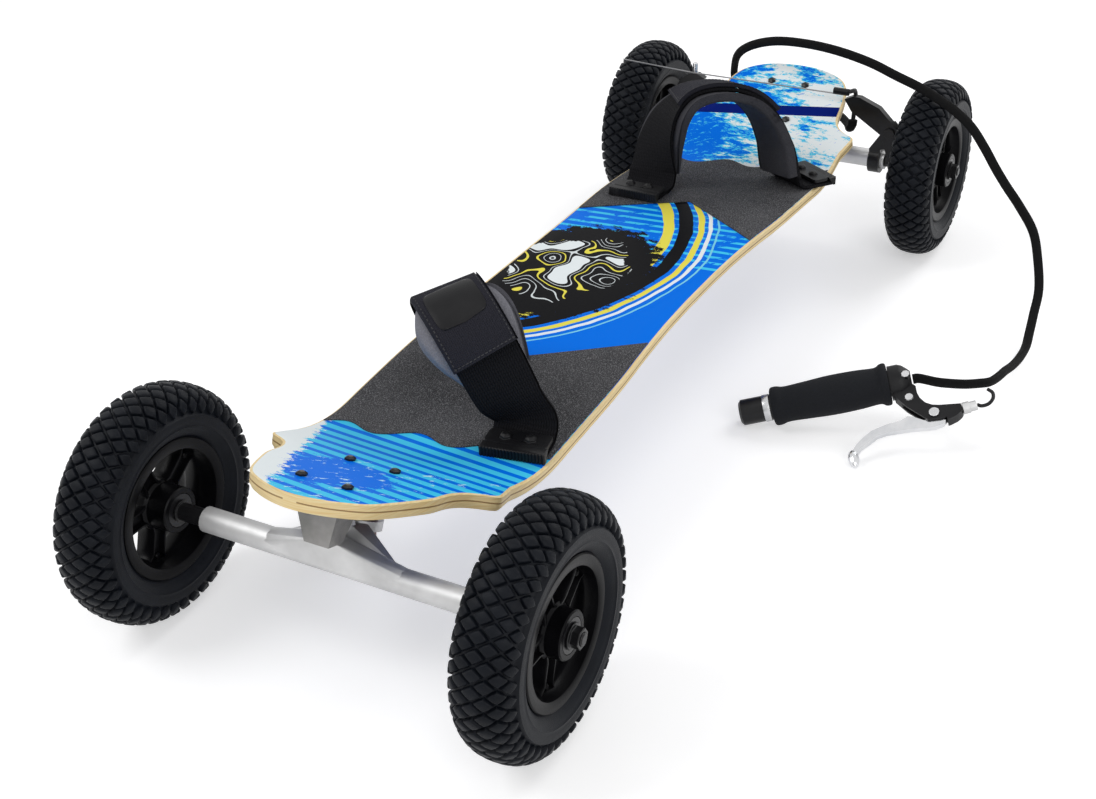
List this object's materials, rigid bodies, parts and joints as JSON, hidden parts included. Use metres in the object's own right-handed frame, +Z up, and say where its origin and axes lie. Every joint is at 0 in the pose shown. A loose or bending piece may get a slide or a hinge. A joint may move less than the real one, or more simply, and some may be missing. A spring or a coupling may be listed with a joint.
{
  "type": "mountainboard",
  "caption": "Off-road board: cambered laminated deck on two sprung trucks, air tyres on spoked hubs, foot bindings, and rear brakes worked by a hand lever on a cable.",
  "frame": {"origin": "centre of the deck's top face", "axes": "+X to the nose (the end without brakes), +Y to the board's left, +Z up; the floor under the tyres is at z = -0.140 m"},
  "size_m": [1.1366, 0.5721, 0.2486],
  "materials": {
    "deck_wood": "laminated hardwood with a printed top sheet",
    "grip_tape": "gritty, dull",
    "tyre": "black moulded tread",
    "hub_plastic": "glossy black moulded nylon",
    "bright_steel": "plain bright steel",
    "cast_silver": "satin cast and machined aluminium",
    "cast_grey": "rough tumbled casting",
    "urethane": "dark red, slightly glossy",
    "black_steel": "black oxide",
    "black_plastic": "matt black moulded",
    "webbing": "black woven nylon",
    "foam": "grey closed-cell foam sheet",
    "grip_foam": "black fine foam"
  },
  "bodies": {
    "board": {"deck": "deck_wood", "front_grip_tape": "grip_tape", "front_baseplate": "cast_grey", "front_pivot_cup": "black_plastic", "front_kingpin": "black_steel", "front_board_bushing": "urethane", "front_road_bushing": "urethane", "front_binding_strap": "webbing", "front_binding_liner": "foam", "front_binding_flap": "webbing", "front_binding_right_anchor": "black_plastic", "front_binding_left_anchor": "black_plastic", "rear_grip_tape": "grip_tape", "rear_baseplate": "cast_grey", "rear_pivot_cup": "black_plastic", "rear_kingpin": "black_steel", "rear_board_bushing": "urethane", "rear_road_bushing": "urethane", "rear_binding_strap": "webbing", "rear_binding_liner": "foam", "rear_binding_flap": "webbing", "rear_binding_right_anchor": "black_plastic", "rear_binding_left_anchor": "black_plastic"},
    "front_truck": {"front_hanger": "cast_silver", "front_axle": "black_steel", "front_left_axle_nut": "black_steel", "front_right_axle_nut": "black_steel"},
    "rear_truck": {"rear_hanger": "cast_silver", "rear_axle": "black_steel", "rear_right_axle_nut": "black_steel", "rear_left_axle_nut": "black_steel", "left_brake_mount": "black_steel", "right_brake_mount": "black_steel", "brake_wire": "bright_steel", "brake_cable_guide": "black_plastic", "handle_bar": "black_steel", "handle_grip": "grip_foam", "lever_bracket": "black_plastic", "lever_pin": "bright_steel", "barrel_adjuster": "cast_silver", "brake_line": "webbing", "cable_end": "black_plastic"},
    "front_left_wheel": {"front_left_wheel_tyre": "tyre", "front_left_wheel_hub": "hub_plastic", "front_left_wheel_bearings": "bright_steel"},
    "front_right_wheel": {"front_right_wheel_tyre": "tyre", "front_right_wheel_hub": "hub_plastic", "front_right_wheel_bearings": "bright_steel"},
    "rear_left_wheel": {"rear_left_wheel_tyre": "tyre", "rear_left_wheel_hub": "hub_plastic", "rear_left_wheel_bearings": "bright_steel", "rear_left_wheel_brake_disc": "bright_steel"},
    "rear_right_wheel": {"rear_right_wheel_tyre": "tyre", "rear_right_wheel_hub": "hub_plastic", "rear_right_wheel_bearings": "bright_steel", "rear_right_wheel_brake_disc": "bright_steel"},
    "left_brake_arm": {"left_brake_arm": "black_steel"},
    "right_brake_arm": {"right_brake_arm": "black_steel"},
    "brake_lever": {"brake_lever": "cast_silver"}
  },
  "joints": [
    {"name": "front_truck_lean", "type": "hinge", "parent": "board", "child": "front_truck", "pos_m": [0.47411, 0, -0.00343], "axis": [0.8861, 0, 0.4635], "range_deg": [-8, 8], "stiffness_Nm_per_rad": 60, "deforming": ["front_board_bushing", "front_road_bushing"]},
    {"name": "rear_truck_lean", "type": "hinge", "parent": "board", "child": "rear_truck", "pos_m": [-0.47411, 0, -0.00343], "axis": [-0.8861, 0, 0.4635], "range_deg": [-8, 8], "stiffness_Nm_per_rad": 60, "deforming": ["rear_board_bushing", "rear_road_bushing"]},
    {"name": "front_left_wheel_spin", "type": "hinge", "parent": "front_truck", "child": "front_left_wheel", "pos_m": [0.465, 0.1765, -0.04], "axis": [0, 1, 0], "continuous": true},
    {"name": "front_right_wheel_spin", "type": "hinge", "parent": "front_truck", "child": "front_right_wheel", "pos_m": [0.465, -0.1765, -0.04], "axis": [0, 1, 0], "continuous": true},
    {"name": "rear_left_wheel_spin", "type": "hinge", "parent": "rear_truck", "child": "rear_left_wheel", "pos_m": [-0.465, 0.1765, -0.04], "axis": [0, 1, 0], "continuous": true},
    {"name": "rear_right_wheel_spin", "type": "hinge", "parent": "rear_truck", "child": "rear_right_wheel", "pos_m": [-0.465, -0.1765, -0.04], "axis": [0, 1, 0], "continuous": true},
    {"name": "left_brake_arm_pivot", "type": "hinge", "parent": "rear_truck", "child": "left_brake_arm", "pos_m": [-0.4495, 0.133, 0.001], "axis": [1, 0, 0], "range_deg": [0, 3]},
    {"name": "right_brake_arm_pivot", "type": "hinge", "parent": "rear_truck", "child": "right_brake_arm", "pos_m": [-0.4495, -0.133, 0.001], "axis": [-1, 0, 0], "range_deg": [0, 3]},
    {"name": "brake_lever_pull", "type": "hinge", "parent": "rear_truck", "child": "brake_lever", "pos_m": [-0.03253, 0.31842, -0.10053], "axis": [-0.48, 0.0452, -0.8761], "range_deg": [0, 20], "stiffness_Nm_per_rad": 1.2, "springref_deg": -2.86}
  ],
  "couplings": [
    {"joint": "left_brake_arm_pivot", "follows": "brake_lever_pull", "ratio": 0.15},
    {"joint": "right_brake_arm_pivot", "follows": "brake_lever_pull", "ratio": 0.15}
  ]
}
